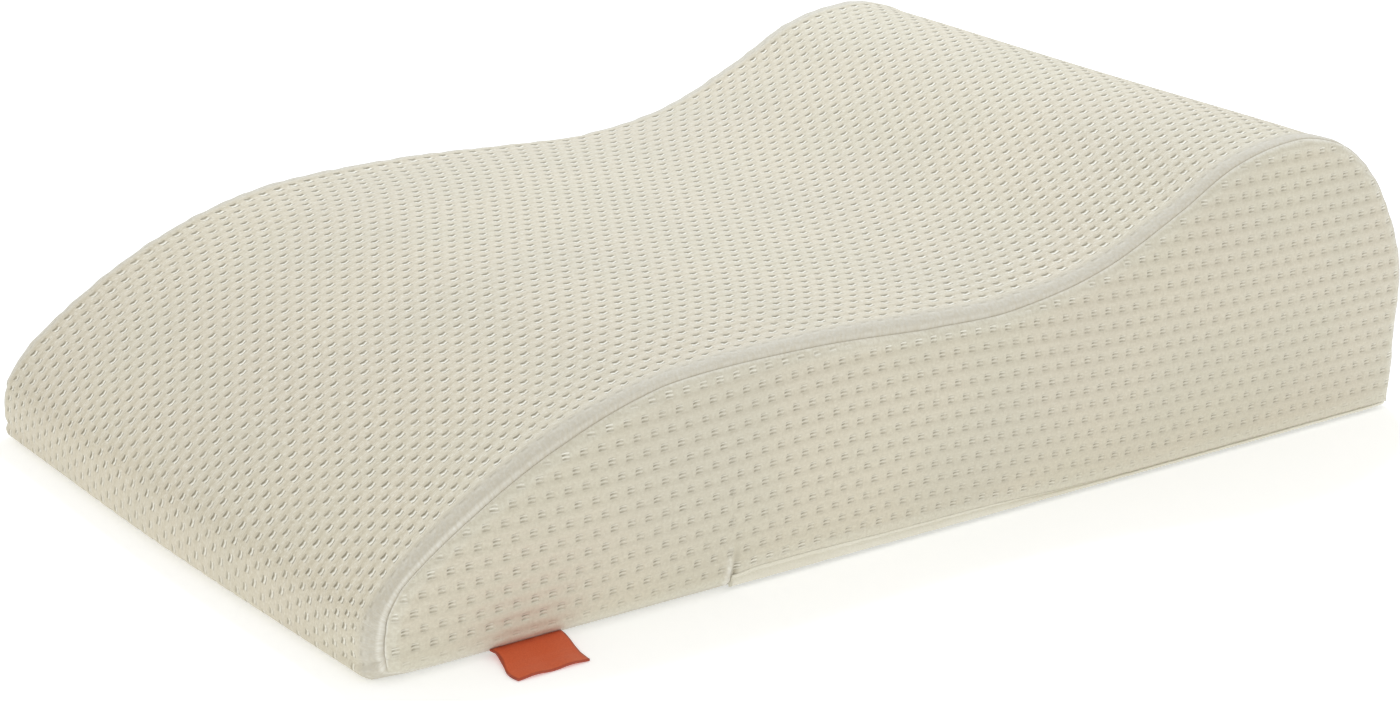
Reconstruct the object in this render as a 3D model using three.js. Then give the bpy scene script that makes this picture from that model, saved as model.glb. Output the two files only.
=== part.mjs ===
// A leg elevation pillow: a wave-shaped leg rest in a dimpled knit cover, made to lie on a bed.
// Millimetres. X runs from the low end to the high end, Z is up, and the side with the zip faces -Y.
// The origin is on the surface that the pillow lies on, under the middle of its length and width.

import * as THREE from 'three';

// Driving dimensions
const LENGTH = 700; // over the crown, from the low end to the high end
const HEIGHT = 173; // of the high hump, at mid width
const WIDTH = 385; // between the seams of the two side panels
const GAP = 0.3; // between pieces that are sewn to each other

// How the filled body is rounded
const EDGE_RADIUS = 10; // width of the rounded edge beside each side seam
const UNDER_EDGE = 4; // height of the side seams above the surface, along the bottom
const UNDER_NOSE = 5; // how much higher they are at the low end's corners
const NOSE_CORNER = 44; // length over which they rise there
const UNDER_BLEND = 7; // height over which the bottom's rounding turns into that of the ends
const SIDE_SWELL = 4; // how far the filling pushes the middle of each side out

// Side panels
const PANEL_THICKNESS = 3;
const PANEL_RIM_THICKNESS = 1.2;
const PANEL_RIM_INSET = 1; // of the outer face, where the rim is turned in

// Zip placket: the folded strip along the bottom of the near side
const PLACKET_START = -138;
const PLACKET_HEIGHT = 6; // above the side seam

// Label tab, sewn into the bottom seam of the near side
const LABEL_MIDDLE = -258;
const LABEL_WIDTH = 40;
const LABEL_LENGTH = 30;
const LABEL_THICKNESS = 1;
const LABEL_SKEW = -4; // how far its free end lies off to the side
const LABEL_RIPPLE = 0.35; // height of the soft wave across it

// Line over the crown at mid width, from the bottom of the low end up, over and down to the bottom of the
// high end. along: percent of LENGTH from the middle. up: percent of HEIGHT. edge: depth in mm to which the
// rounded edge beside the seam drops. crown: further depth in mm that the cloth falls from mid width to the seam.
const PROFILE = [
  { along: -48.2, up: 0.0, edge: 8.1, crown: 7.2 },
  { along: -49.7, up: 3.1, edge: 8.5, crown: 6.7 },
  { along: -49.7, up: 18.4, edge: 8.8, crown: 5.7 },
  { along: -47.5, up: 29.9, edge: 5.1, crown: 4.2 },
  { along: -41.6, up: 46.9, edge: 7.4, crown: 2.5 },
  { along: -34.0, up: 61.6, edge: 7.2, crown: 1.8 },
  { along: -25.8, up: 69.8, edge: 4.8, crown: 1.3 },
  { along: -13.3, up: 72.3, edge: 6.5, crown: 1.4 },
  { along: -2.4, up: 70.6, edge: 7.8, crown: 1.5 },
  { along: 5.5, up: 69.3, edge: 6.4, crown: 1.4 },
  { along: 14.5, up: 73.6, edge: 4.2, crown: 0.4 },
  { along: 22.2, up: 85.4, edge: 3.3, crown: -0.2 },
  { along: 28.6, up: 97.2, edge: 3.3, crown: -1.1 },
  { along: 35.7, up: 99.9, edge: 1.9, crown: -2.8 },
  { along: 40.3, up: 95.0, edge: 1.7, crown: -3.4 },
  { along: 43.8, up: 86.8, edge: 3.0, crown: -1.7 },
  { along: 46.8, up: 73.7, edge: 4.2, crown: -0.2 },
  { along: 49.7, up: 50.1, edge: 5.8, crown: 1.0 },
  { along: 49.9, up: 25.8, edge: 5.8, crown: 1.1 },
  { along: 49.8, up: 5.0, edge: 5.8, crown: 1.1 },
  { along: 48.9, up: 0.0, edge: 5.9, crown: 1.3 },
];
const NOSE_TOP_ROW = 3; // where the low end turns into the top
const REAR_TOP_ROW = 16; // where the top turns into the high end

// How finely the shapes are divided
const STEPS_ALONG = 48; // from the low end to the high end
const STEPS_UP = 8; // up each end
const SAMPLES_PER_ROW = 16; // for measuring along the crown line
// Distances in from a side seam at which the body has a section, as far as mid width
const SECTION_DEPTHS = [0, 1.2, 3, 6, EDGE_RADIUS, 24, 60, 120, WIDTH / 2];

const knit = new THREE.MeshStandardMaterial({ name: 'knit', color: 0xdcd8c6, roughness: 0.95, metalness: 0 });
const turnedKnit = new THREE.MeshStandardMaterial({ name: 'turned_knit', color: 0xd2ceb8, roughness: 0.9, metalness: 0 });
const satin = new THREE.MeshStandardMaterial({ name: 'satin', color: 0xc65a30, roughness: 0.45, metalness: 0 });

function smoothStep(value) {
  return THREE.MathUtils.smoothstep(value, 0, 1);
}

const crownLine = new THREE.CatmullRomCurve3(
  PROFILE.map((row) => new THREE.Vector3((row.along / 100) * LENGTH, 0, (row.up / 100) * HEIGHT)),
  false,
  'centripetal',
);

// The crown line at a place counted in rows of the table, with the two depths that go with it
function crownAt(place) {
  const row = Math.min(Math.floor(place), PROFILE.length - 2);
  const share = place - row;
  const point = crownLine.getPoint(place / (PROFILE.length - 1));
  return {
    x: point.x,
    z: Math.max(point.z, 0),
    edge: THREE.MathUtils.lerp(PROFILE[row].edge, PROFILE[row + 1].edge, share),
    crown: THREE.MathUtils.lerp(PROFILE[row].crown, PROFILE[row + 1].crown, share),
  };
}

// Points at even distances along the crown line, from one row of the table to another
function evenlyAlong(firstRow, lastRow, steps) {
  const fine = [];
  for (let i = 0; i <= (lastRow - firstRow) * SAMPLES_PER_ROW; i++) {
    fine.push(crownAt(firstRow + i / SAMPLES_PER_ROW));
  }
  const travelled = [0];
  for (let i = 1; i < fine.length; i++) {
    travelled.push(travelled[i - 1] + Math.hypot(fine[i].x - fine[i - 1].x, fine[i].z - fine[i - 1].z));
  }
  const points = [];
  for (let k = 0; k <= steps; k++) {
    const wanted = (travelled.at(-1) * k) / steps;
    let i = 1;
    while (i < fine.length - 1 && travelled[i] < wanted) i++;
    const share = (wanted - travelled[i - 1]) / (travelled[i] - travelled[i - 1]);
    points.push(crownAt(firstRow + (i - 1 + share) / SAMPLES_PER_ROW));
  }
  return points;
}

// The closed outline at mid width: up the low end, over the top, down the high end and back along the bottom
function outlineAtMidWidth() {
  const lastRow = PROFILE.length - 1;
  const front = evenlyAlong(0, NOSE_TOP_ROW, STEPS_UP);
  const top = evenlyAlong(NOSE_TOP_ROW, REAR_TOP_ROW, STEPS_ALONG);
  const rear = evenlyAlong(REAR_TOP_ROW, lastRow, STEPS_UP);
  const bottom = [];
  for (let k = 1; k < STEPS_ALONG; k++) {
    const share = k / STEPS_ALONG;
    const x = THREE.MathUtils.lerp(rear.at(-1).x, front[0].x, share);
    bottom.push({ x, z: 0, edge: UNDER_EDGE, crown: 0 });
  }
  return [...front, ...top.slice(1), ...rear.slice(1), ...bottom];
}

// Unit vectors that point out of the outline, in its own plane
function outwardNormals(outline) {
  return outline.map((_, i) => {
    const before = outline.at(i - 1);
    const after = outline[(i + 1) % outline.length];
    const length = Math.hypot(after.x - before.x, after.z - before.z);
    return { x: -(after.z - before.z) / length, z: (after.x - before.x) / length };
  });
}

const outline = outlineAtMidWidth();
const normals = outwardNormals(outline);

// The body's outline at a distance in from a side seam: it is drawn in more the nearer it is to the seam
function section(depth) {
  const toEdge = 1 - Math.min(depth / EDGE_RADIUS, 1);
  const rounding = 1 - Math.sqrt(1 - toEdge * toEdge);
  const fall = (1 - depth / (WIDTH / 2)) ** 2;
  return outline.map((point, i) => {
    const above = smoothStep(point.z / UNDER_BLEND);
    const toNose = THREE.MathUtils.clamp((NOSE_CORNER - LENGTH / 2 - point.x) / NOSE_CORNER, 0, 1);
    const under = (UNDER_EDGE + UNDER_NOSE * toNose ** 2) * rounding;
    const drawnIn = THREE.MathUtils.lerp(under, point.edge * rounding + point.crown * fall, above);
    return { x: point.x - normals[i].x * drawnIn, z: point.z - normals[i].z * drawnIn };
  });
}

const seam = section(0);

// The seam's four stretches, each from the low end to the high end or from the bottom to the top
const seamFront = seam.slice(0, STEPS_UP + 1);
const seamTop = seam.slice(STEPS_UP, STEPS_UP + STEPS_ALONG + 1);
const seamRear = seam.slice(STEPS_UP + STEPS_ALONG, 2 * STEPS_UP + STEPS_ALONG + 1).reverse();
const seamBottom = [...seam.slice(2 * STEPS_UP + STEPS_ALONG), seam[0]].reverse();

function pointOn(stretch, share) {
  const place = share * (stretch.length - 1);
  const i = Math.min(Math.floor(place), stretch.length - 2);
  const rest = place - i;
  return {
    x: THREE.MathUtils.lerp(stretch[i].x, stretch[i + 1].x, rest),
    z: THREE.MathUtils.lerp(stretch[i].z, stretch[i + 1].z, rest),
  };
}

// A place on the side, u from the low end to the high end and v from the bottom to the top, spread evenly
// between the seam's four stretches, with how far the side swells out there
function sideAt(u, v) {
  const bottom = pointOn(seamBottom, u);
  const top = pointOn(seamTop, u);
  const front = pointOn(seamFront, v);
  const rear = pointOn(seamRear, v);
  const blend = (axis) => {
    const across = (1 - v) * bottom[axis] + v * top[axis] + (1 - u) * front[axis] + u * rear[axis];
    const ends = (1 - v) * ((1 - u) * seamBottom[0][axis] + u * seamBottom.at(-1)[axis]);
    const tops = v * ((1 - u) * seamTop[0][axis] + u * seamTop.at(-1)[axis]);
    return across - ends - tops;
  };
  const swell = SIDE_SWELL * (1 - (2 * u - 1) ** 4) * (1 - (2 * v - 1) ** 2);
  return { x: blend('x'), z: blend('z'), swell };
}

// Turns lists of places and four-cornered faces into a closed surface whose faces point out
function surface(positions, faces) {
  const indices = faces.flatMap(([a, b, c, d]) => [a, b, c, a, c, d]);
  const corner = (i) => new THREE.Vector3(...positions[indices[i]]);
  let volume = 0;
  for (let i = 0; i < indices.length; i += 3) {
    volume += corner(i).dot(corner(i + 1).cross(corner(i + 2)));
  }
  const geometry = new THREE.BufferGeometry();
  geometry.setAttribute('position', new THREE.Float32BufferAttribute(positions.flat(), 3));
  geometry.setIndex(volume > 0 ? indices : indices.reverse());
  geometry.computeVertexNormals();
  return geometry;
}

// A solid between two grids of points of the same size, closed round the rim
function solidBetween(outer, inner) {
  const rows = outer.length;
  const columns = outer[0].length;
  const positions = [...outer.flat(), ...inner.flat()];
  const outerId = (row, column) => row * columns + column;
  const innerId = (row, column) => rows * columns + outerId(row, column);
  const faces = [];
  for (let row = 0; row < rows - 1; row++) {
    for (let column = 0; column < columns - 1; column++) {
      const quad = [[row, column], [row, column + 1], [row + 1, column + 1], [row + 1, column]];
      faces.push(quad.map((at) => outerId(...at)));
      faces.push(quad.map((at) => innerId(...at)).reverse());
    }
  }
  const rim = [];
  for (let column = 0; column < columns - 1; column++) rim.push([0, column]);
  for (let row = 0; row < rows - 1; row++) rim.push([row, columns - 1]);
  for (let column = columns - 1; column > 0; column--) rim.push([rows - 1, column]);
  for (let row = rows - 1; row > 0; row--) rim.push([row, 0]);
  rim.forEach((at, i) => {
    const next = rim[(i + 1) % rim.length];
    faces.push([outerId(...next), outerId(...at), innerId(...at), innerId(...next)]);
  });
  return surface(positions, faces);
}

// The filled body: sections from one side seam to the other, closed at each side by a swelled face
function cushionGeometry() {
  const half = SECTION_DEPTHS.map((depth) => ({ depth, y: depth - WIDTH / 2 }));
  const far = half.slice(0, -1).map(({ depth, y }) => ({ depth, y: -y }));
  const stations = [...half, ...far.reverse()];
  const ring = outline.length;
  const positions = [];
  const faces = [];
  for (const { depth, y } of stations) {
    for (const point of section(depth)) positions.push([point.x, y, point.z]);
  }
  for (let s = 0; s < stations.length - 1; s++) {
    for (let i = 0; i < ring; i++) {
      const next = (i + 1) % ring;
      faces.push([s * ring + i, s * ring + next, (s + 1) * ring + next, (s + 1) * ring + i]);
    }
  }
  for (const [station, facing] of [[0, -1], [stations.length - 1, 1]]) {
    const ids = [];
    for (let column = 0; column <= STEPS_ALONG; column++) {
      ids.push([]);
      for (let row = 0; row <= STEPS_UP; row++) {
        ids[column].push(sideVertex(column, row, station * ring, facing, positions));
      }
    }
    for (let column = 0; column < STEPS_ALONG; column++) {
      for (let row = 0; row < STEPS_UP; row++) {
        const quad = [
          ids[column][row], ids[column + 1][row], ids[column + 1][row + 1], ids[column][row + 1],
        ];
        faces.push(facing < 0 ? quad : quad.reverse());
      }
    }
  }
  return surface(positions, faces);
}

// The number of a vertex of a side face: one of the seam's on its rim, or else a new one
function sideVertex(column, row, firstOfRing, facing, positions) {
  if (column === 0) return firstOfRing + row;
  if (row === STEPS_UP) return firstOfRing + STEPS_UP + column;
  if (column === STEPS_ALONG) return firstOfRing + 2 * STEPS_UP + STEPS_ALONG - row;
  if (row === 0) return firstOfRing + 2 * (STEPS_UP + STEPS_ALONG) - column;
  const place = sideAt(column / STEPS_ALONG, row / STEPS_UP);
  positions.push([place.x, facing * (WIDTH / 2 + place.swell), place.z]);
  return positions.length - 1;
}

// How far up the side the placket reaches at a column of the side's grid, as a share of its height there
function placketShare(column) {
  const bottom = pointOn(seamBottom, column / STEPS_ALONG);
  const top = pointOn(seamTop, column / STEPS_ALONG);
  return bottom.x < PLACKET_START ? 0 : PLACKET_HEIGHT / (top.z - bottom.z);
}

// A panel sewn into a side, following the swelled face, thinner at its rim
function sidePanelGeometry(facing, lowerEdge) {
  const outer = [];
  const inner = [];
  for (let column = 0; column <= STEPS_ALONG; column++) {
    const u = column / STEPS_ALONG;
    const lowest = lowerEdge(column);
    outer.push([]);
    inner.push([]);
    for (let row = 0; row <= STEPS_UP; row++) {
      const v = lowest + (1 - lowest) * (row / STEPS_UP);
      const onRim = column === 0 || row === 0 || column === STEPS_ALONG || row === STEPS_UP;
      const place = sideAt(u, v);
      const thickness = onRim ? PANEL_RIM_THICKNESS : PANEL_THICKNESS;
      const base = WIDTH / 2 + place.swell + GAP;
      const inset = turnedIn(column, row);
      outer[column].push([place.x + inset.x, facing * (base + thickness), place.z + inset.z]);
      inner[column].push([place.x, facing * base, place.z]);
    }
  }
  return solidBetween(outer, inner);
}

// How the outer face's rim is moved towards the panel's middle
function turnedIn(column, row) {
  const x = column === 0 ? PANEL_RIM_INSET : column === STEPS_ALONG ? -PANEL_RIM_INSET : 0;
  const z = row === 0 ? PANEL_RIM_INSET : row === STEPS_UP ? -PANEL_RIM_INSET : 0;
  return { x, z };
}

// The placket: a strip with a rounded fold, laid along the bottom of the near side below the panel's edge.
// out: distance from the body's side. up: share of the height from the side seam to the panel's edge.
const PLACKET_FOLD = [
  { out: 0, up: 1 },
  { out: 1.4, up: 1 },
  { out: 2.6, up: 0.6 },
  { out: 2.8, up: 0.1 },
  { out: 2.1, up: -0.35 },
  { out: 0.6, up: -0.56 },
];

function placketGeometry() {
  const outer = [];
  const inner = [];
  for (let column = 0; column <= STEPS_ALONG; column++) {
    const u = column / STEPS_ALONG;
    const height = placketShare(column);
    if (height === 0) continue;
    const low = sideAt(u, 0);
    const edge = sideAt(u, height);
    const at = (out, up) => {
      const x = THREE.MathUtils.lerp(low.x, edge.x, Math.max(up, 0));
      const y = WIDTH / 2 + GAP + sideAt(u, Math.max(up, 0) * height).swell + out;
      return [x, -y, low.z + up * (edge.z - GAP - low.z)];
    };
    outer.push(PLACKET_FOLD.map(({ out, up }) => at(out, up)));
    inner.push(PLACKET_FOLD.map(({ up }) => at(0, up)));
  }
  return solidBetween(outer, inner);
}

// The label leaves the seam under the panel's edge, slopes down and lies on the surface.
// out: distance from the body's side. up: height of its underside.
const LABEL_FALL = [
  { out: 0, up: 2.6 },
  { out: 4, up: 2.5 },
  { out: 9, up: 1.7 },
  { out: 15, up: 0.6 },
  { out: 21, up: 0 },
  { out: 26, up: 0 },
  { out: LABEL_LENGTH, up: 0 },
];
const LABEL_STEPS = 6;

function labelGeometry() {
  const upper = [];
  const lower = [];
  LABEL_FALL.forEach(({ out, up }) => {
    const upperRow = [];
    const lowerRow = [];
    for (let k = 0; k <= LABEL_STEPS; k++) {
      const share = k / LABEL_STEPS;
      const freed = smoothStep(out / LABEL_LENGTH);
      const x = LABEL_MIDDLE + (share - 0.5) * LABEL_WIDTH + LABEL_SKEW * freed;
      const y = -(WIDTH / 2 + GAP + out);
      const ripple = LABEL_RIPPLE * freed * (1 - Math.cos(4 * Math.PI * share));
      upperRow.push([x, y, up + ripple + LABEL_THICKNESS]);
      lowerRow.push([x, y, up + ripple]);
    }
    upper.push(upperRow);
    lower.push(lowerRow);
  });
  return solidBetween(upper, lower);
}

function piece(name, geometry, material) {
  const mesh = new THREE.Mesh(geometry, material);
  mesh.name = name;
  return mesh;
}

const pillow = new THREE.Group();
pillow.add(
  piece('cushion', cushionGeometry(), knit),
  piece('side_panel_near', sidePanelGeometry(-1, placketShare), knit),
  piece('side_panel_far', sidePanelGeometry(1, () => 0), knit),
  piece('zip_placket', placketGeometry(), turnedKnit),
  piece('label_tab', labelGeometry(), satin),
);

export default pillow;
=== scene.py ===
"""A leg elevation pillow in its dimpled knit cover: the wrap and its filling, two side panels, a folded
placket over the opening and a bare satin tab. Lengths are in millimetres until a mesh is made."""

import math

import bpy
import numpy as np
from mathutils import Matrix, Vector


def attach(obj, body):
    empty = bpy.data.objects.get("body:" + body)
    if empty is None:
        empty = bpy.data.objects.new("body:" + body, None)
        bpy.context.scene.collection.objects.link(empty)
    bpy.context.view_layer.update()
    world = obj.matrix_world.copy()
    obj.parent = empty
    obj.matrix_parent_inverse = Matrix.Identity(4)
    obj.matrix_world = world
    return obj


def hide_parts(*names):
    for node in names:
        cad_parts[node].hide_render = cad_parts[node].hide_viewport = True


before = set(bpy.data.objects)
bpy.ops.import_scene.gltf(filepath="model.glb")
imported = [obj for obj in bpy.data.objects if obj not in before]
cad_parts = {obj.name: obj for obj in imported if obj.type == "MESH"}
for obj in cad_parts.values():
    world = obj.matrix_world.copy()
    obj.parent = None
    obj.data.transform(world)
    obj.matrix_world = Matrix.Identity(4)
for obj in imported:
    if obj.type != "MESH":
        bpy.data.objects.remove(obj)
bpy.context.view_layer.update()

MM = 0.001  # one millimetre in Blender's metres
TURN = 2 * math.pi  # one whole wave
BODY = "root"

# Driving dimensions of the pillow
LENGTH = 700  # over the crown
HEIGHT = 173  # of the high hump at mid width
WIDTH = 385  # between the side seams
GAP = 0.3  # between pieces
EDGE_RADIUS = 10  # width of the rounded edge beside each side seam
UNDER_EDGE = 4  # height of the side seams above the surface, along the bottom
UNDER_NOSE = 5  # how much higher they are at the low end's corners
NOSE_CORNER = 44  # length over which they rise there
FOOT_EDGE = -333  # where the side seam turns round the low end's foot
FOOT_HEIGHT = 14  # height below which the seam is drawn to that place
FOOT_RISE = 6.5  # height of the seam there
FOOT_SLOPE = 0.25  # how much of its own height each point keeps there
FOOT_PULL = 0.88  # how much of the way there it is drawn, so that its points stay apart
UNDER_BLEND = 7  # height over which the bottom's rounding turns into that of the ends
SIDE_SWELL = 4  # how far the filling pushes the middle of each side out
SWELL_POWER = 4  # the larger it is, the nearer to the ends the side stays swelled
SIDE_CORE_SWELL = 2.5  # how far the hidden side of the filling swells under its panel
SIDE_CORE_MIDDLE = 60  # place along the pillow where it swells most
MIDDLE_HEIGHT = HEIGHT / 3  # of the filling's middle

# The line over the crown at mid width, in the order of PROFILE_COLUMNS. All but the last column are rounded
# from a fit of the pillow's outline. along: percent of LENGTH from the middle. up: percent of HEIGHT. edge:
# drop of the rounded edge beside the seam. crown: further fall of the cloth from mid width to the seam. dish:
# how far mid width lies below the rims that the seam allowances raise.
PROFILE_COLUMNS = ("along", "up", "edge", "crown", "dish")
PROFILE = (
    (-48.2, 0.0, 8.1, 7.2, 0.0),
    (-49.7, 3.1, 8.5, 6.7, 0.5),
    (-49.7, 18.4, 8.8, 5.7, 2.0),
    (-47.5, 29.9, 5.1, 4.2, 3.5),
    (-41.6, 46.9, 7.4, 2.5, 4.5),
    (-34.0, 61.6, 7.2, 1.8, 4.5),
    (-25.8, 69.8, 4.8, 1.3, 5.0),
    (-13.3, 72.3, 6.5, 1.4, 5.0),
    (-2.4, 70.6, 7.8, 1.5, 3.5),
    (5.5, 69.3, 6.4, 1.4, 0.8),
    (14.5, 73.6, 4.2, 0.4, -1.5),
    (22.2, 85.4, 3.3, -0.2, -1.0),
    (28.6, 97.2, 3.3, -1.1, 0.0),
    (35.7, 99.9, 1.9, -2.8, 0.0),
    (40.3, 95.0, 1.7, -3.4, 0.0),
    (43.8, 86.8, 3.0, -1.7, 0.0),
    (46.8, 73.7, 4.2, -0.2, 0.0),
    (49.7, 50.1, 5.8, 1.0, 0.0),
    (49.9, 25.8, 5.8, 1.1, 0.0),
    (49.8, 5.0, 5.8, 1.1, 0.0),
    (48.9, 0.0, 5.9, 1.3, 0.0),
)
NOSE_TOP_ROW = 3  # where the low end turns into the top, for the side seams
REAR_TOP_ROW = 16  # where the top turns into the high end
SAMPLES_PER_ROW = 48
LOOP_STEP = 1.0  # between the points of the outline that everything is measured along
NORMAL_REACH = 4  # points to each side that a normal is taken over
DISH_POWER = 5  # the larger it is, the closer to the seams the rims rise

# The wrap's grid and its dimples, in rows along the wrap, every other row shifted by half a pitch
WRAP_PITCHES = 92  # dimples along the wrap from the low end's foot to the high end's
WRAP_ROWS = 47  # rows of dimples across the wrap
BAND = 9  # smooth cloth beside each side seam
BAND_INSET = 4  # how far inside the band its painted grey shade starts to fade
BAND_FADE = 6
BAND_DEPTHS = (0, 0.5, 1.3, 2.5, 4.0, 5.8, 7.4)  # grid lines in the smooth band, in from the seam
ROW_SHARES = (-0.5, -0.285, 0.0, 0.285)  # grid lines within a row of dimples, as shares of a row
STEPS_PER_PITCH = 4
BOTTOM_STEPS = 44
BOW = 22  # how far the columns of dimples bend towards the low end at the seams, where the top is dished
BOW_POWER = 4.6
BOW_FADE = 60  # length over which the bend is taken up at each end of the wrap

# The sides' dimples
SIDE_PITCH = 10.0
SIDE_ROW = 8.3
SIDE_WAVE = 9  # height of the soft wave in the side's rows
SIDE_WAVE_MIDDLE = -45
SIDE_WAVE_SPREAD = 130
SIDE_SLANT = 0.037  # lean of the side's columns

# The relief of the dimples, and where it fades out
PIT_HALF_LENGTH = 2.8  # of a dimple's bowl, along a row
PIT_HALF_WIDTH = 2.6  # and across it
PIT_DEPTH = 0.9
RELIEF_FROM = 3  # depth from the seam at which the wrap's dimples start to show
RELIEF_OVER = 9
LOW_RELIEF = 0.55  # of the dimples at the foot of both ends, where the cloth is stretched flatter
LOW_REACH = 38
END_FADE = 12  # length over which the dimples deepen at each end of the wrap
SIDE_RELIEF_FROM = 0.5  # distance from its rim at which a side panel's dimples start to show
SIDE_RELIEF_OVER = 2
SIDE_LOW_FROM = 6  # height at which they start to show
SIDE_LOW_OVER = 8
RIM_HIGHLIGHT_FROM = 3.5  # distance from its rim up to which a side panel is palest, a painted highlight where it rolls up to the seam
RIM_HIGHLIGHT_OVER = 4

# The seams: a ridge, a pale thread painted whiter as a highlight, and small gathers
RIDGE_HEIGHT = 0.35  # of the thread ridge beside the seam
RIDGE_DEPTH = 0.9
RIDGE_WIDTH = 0.6
THREAD_DEPTH = 0.4  # of the pale thread and its painted highlight on the wrap's side of the seam
THREAD_REACH = 0.35
THREAD_HIGHLIGHT = 0.45  # how white its painted highlight is, apart from the low end's corner, where it is whitest
THREAD_CORNER = -250  # where that corner starts
THREAD_FADE = 60
THREAD_RISE = 0.1  # share of a side's height over which its thread and painted highlight appear, from the bottom up
PUCKER_HEIGHT = 0.4  # of the small gathers along the seams
PUCKER_REACH = 9
PUCKER_WAVES = ((17, 0.6, 0.0), (29, 0.4, 1.3), (11, 0.3, 2.1))  # length, share and phase
SEAM_HOLD = 2  # distance from the seam over which the gathers grow, because the stitches hold it straight
PANEL_HOLD = 1  # the same on a side panel
CORNER_PUCKER = 0.5  # how much stronger they are at the low end's foot
CORNER_REACH = 45

# Side panels
SIDE_COLUMNS = 470
SIDE_ROWS = 112
SIDE_BACK_ROWS = 8
PANEL_THICKNESS = 3
PANEL_RIM_THICKNESS = 0.6
PANEL_ROLL = 4.5  # width over which the panel rolls into its seam
PANEL_GAP = 0.15  # between the panel and the filled body
FOLD_HOLD = 2.4  # how much less the near panel rolls in at its folded edge over the placket
FOLD_FADE = 12  # the larger it is, the closer to that edge this ends

# Zip placket: the folded strip along the bottom of the near side
PLACKET_START = -138
PLACKET_HEIGHT = 6.3
PLACKET_REAR_HEIGHT = 1.1
PLACKET_FALL_FROM = -40  # where it starts to get lower
PLACKET_FALL_OVER = 190
PLACKET_WAVE = 0.6  # how much its fold rises and falls
PLACKET_WAVE_LENGTH = 150
PLACKET_UNDER = 4.2  # how far the fold reaches below the side seam, as the unit of its negative shares
PLACKET_START_LOW = 1.4  # how much lower it is at its start
PLACKET_START_OVER = 16
PLACKET_END_RISE = 0.7  # how far its lower edge rises at the high end's corner
PLACKET_END_THIN = 0.6  # share of its thickness that it loses there
PLACKET_END_OVER = 16
PLACKET_UNEVEN = 0.35  # unevenness of the roll
PLACKET_TWIST = 2  # how much the unevenness shifts along the strip with the height on it

# The placket's fold, from its upper edge to under the pillow's rim. out: from the body's side. up: share of
# the height from the side seam to the panel's edge.
PLACKET_FOLD = (
    (1.5, 1.0), (2.0, 0.97), (2.2, 0.85), (2.1, 0.7), (1.7, 0.6), (1.5, 0.54), (1.8, 0.48), (2.3, 0.38),
    (2.6, 0.24), (2.8, 0.08), (2.8, -0.08), (2.6, -0.22), (2.1, -0.36), (1.4, -0.48), (0.6, -0.56),
)

# The tack at the placket's start
TACK_OFFSETS = (-3.0, 1.2)  # of the crease's ridge and groove from the placket's start
TACK_HEIGHTS = (1.5, -1.3)
TACK_WIDTH = 1.7
TACK_TOP = 30
TACK_FOOT = 4  # height over which the crease grows from the bottom
TACK_HIGHLIGHT = 0.8  # how white the crease's ridge is painted, a painted highlight

# Label tab
LABEL_MIDDLE = -258
LABEL_WIDTH = 40
LABEL_LENGTH = 30
LABEL_THICKNESS = 1
LABEL_SKEW = -4  # how far its free end lies off to the side
LABEL_RIPPLE = 0.35  # of the soft waves across it
LABEL_RIPPLES = 2
LABEL_SWAY = 1.2  # of its S-shaped edge
SELVEDGE = 1.3  # width of its darker woven edges
LABEL_STEPS = 32

# The label's fall from the seam to the surface. out: from the body's side. up: height of its underside.
LABEL_FALL = ((0, 2.6), (4, 2.5), (9, 1.7), (15, 0.6), (21, 0.0), (30, 0.0))

# The filling's pressure on the cover, simulated on a coarse grid
CAGE_ROWS = 37
CAGE_COLUMNS = 103
CAGE_FRAMES = 20
CAGE_PRESSURE = 1
CAGE_SHRINK = 0.004  # because the cover is cut a little smaller than the form
CAGE_PIN_HEIGHT = 3  # cloth below it rests on the surface
CAGE_SMOOTHING = 3
SWELL_CAP = 1.6  # how far the pressure may move a point
SWELL_REACH = 20  # depth from the seam over which its movement grows

# The photograph's camera, from a fit of the pillow's outline
IMAGE_WIDTH = 1400
FOCAL_PIXELS = 3109.5
CAMERA_AZIMUTH = -37.55
CAMERA_ELEVATION = 19.17
CAMERA_ROLL = 1.66
CAMERA_PLACE = (-1008.3, -1296.8, 612.7)
CAMERA_CLIP = (0.05, 50)  # the nearest and farthest things that it sees, in metres
SENSOR = 36


def ease(value):
    """Goes smoothly from 0 to 1 as value does."""
    value = np.clip(value, 0, 1)
    return value * value * (3 - 2 * value)


def hump(value, middle, width):
    """A soft hump of height 1 at the middle."""
    return np.exp(-((value - middle) / width) ** 2)


def column(name):
    """One column of the profile's table."""
    return np.array([row[PROFILE_COLUMNS.index(name)] for row in PROFILE], float)


def crown_line():
    """The crown line as a centripetal curve through the table's rows, with the row that each point is at."""
    places = np.stack([column("along") * LENGTH, column("up") * HEIGHT], 1) / 100
    knots = np.vstack([2 * places[0] - places[1], places, 2 * places[-1] - places[-2]])
    gaps = np.sqrt(np.linalg.norm(np.diff(knots, axis=0), axis=1))
    share = np.arange(SAMPLES_PER_ROW)[:, None] / SAMPLES_PER_ROW
    curve = []
    for row in range(len(places) - 1):
        before, start, end, after = knots[row:row + 4]
        first, middle, last = gaps[row:row + 3]
        leave = (start - before) / first - (end - before) / (first + middle) + (end - start) / middle
        arrive = (end - start) / middle - (after - start) / (middle + last) + (after - end) / last
        leave, arrive = leave * middle, arrive * middle
        square = -3 * start + 3 * end - 2 * leave - arrive
        cube = 2 * start - 2 * end + leave + arrive
        curve.append(start + leave * share + square * share ** 2 + cube * share ** 3)
    curve.append(places[-1:])
    points = np.vstack(curve)
    points[:, 1] = np.maximum(points[:, 1], 0)
    rows = np.arange(len(points)) / SAMPLES_PER_ROW
    return points, rows


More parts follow.
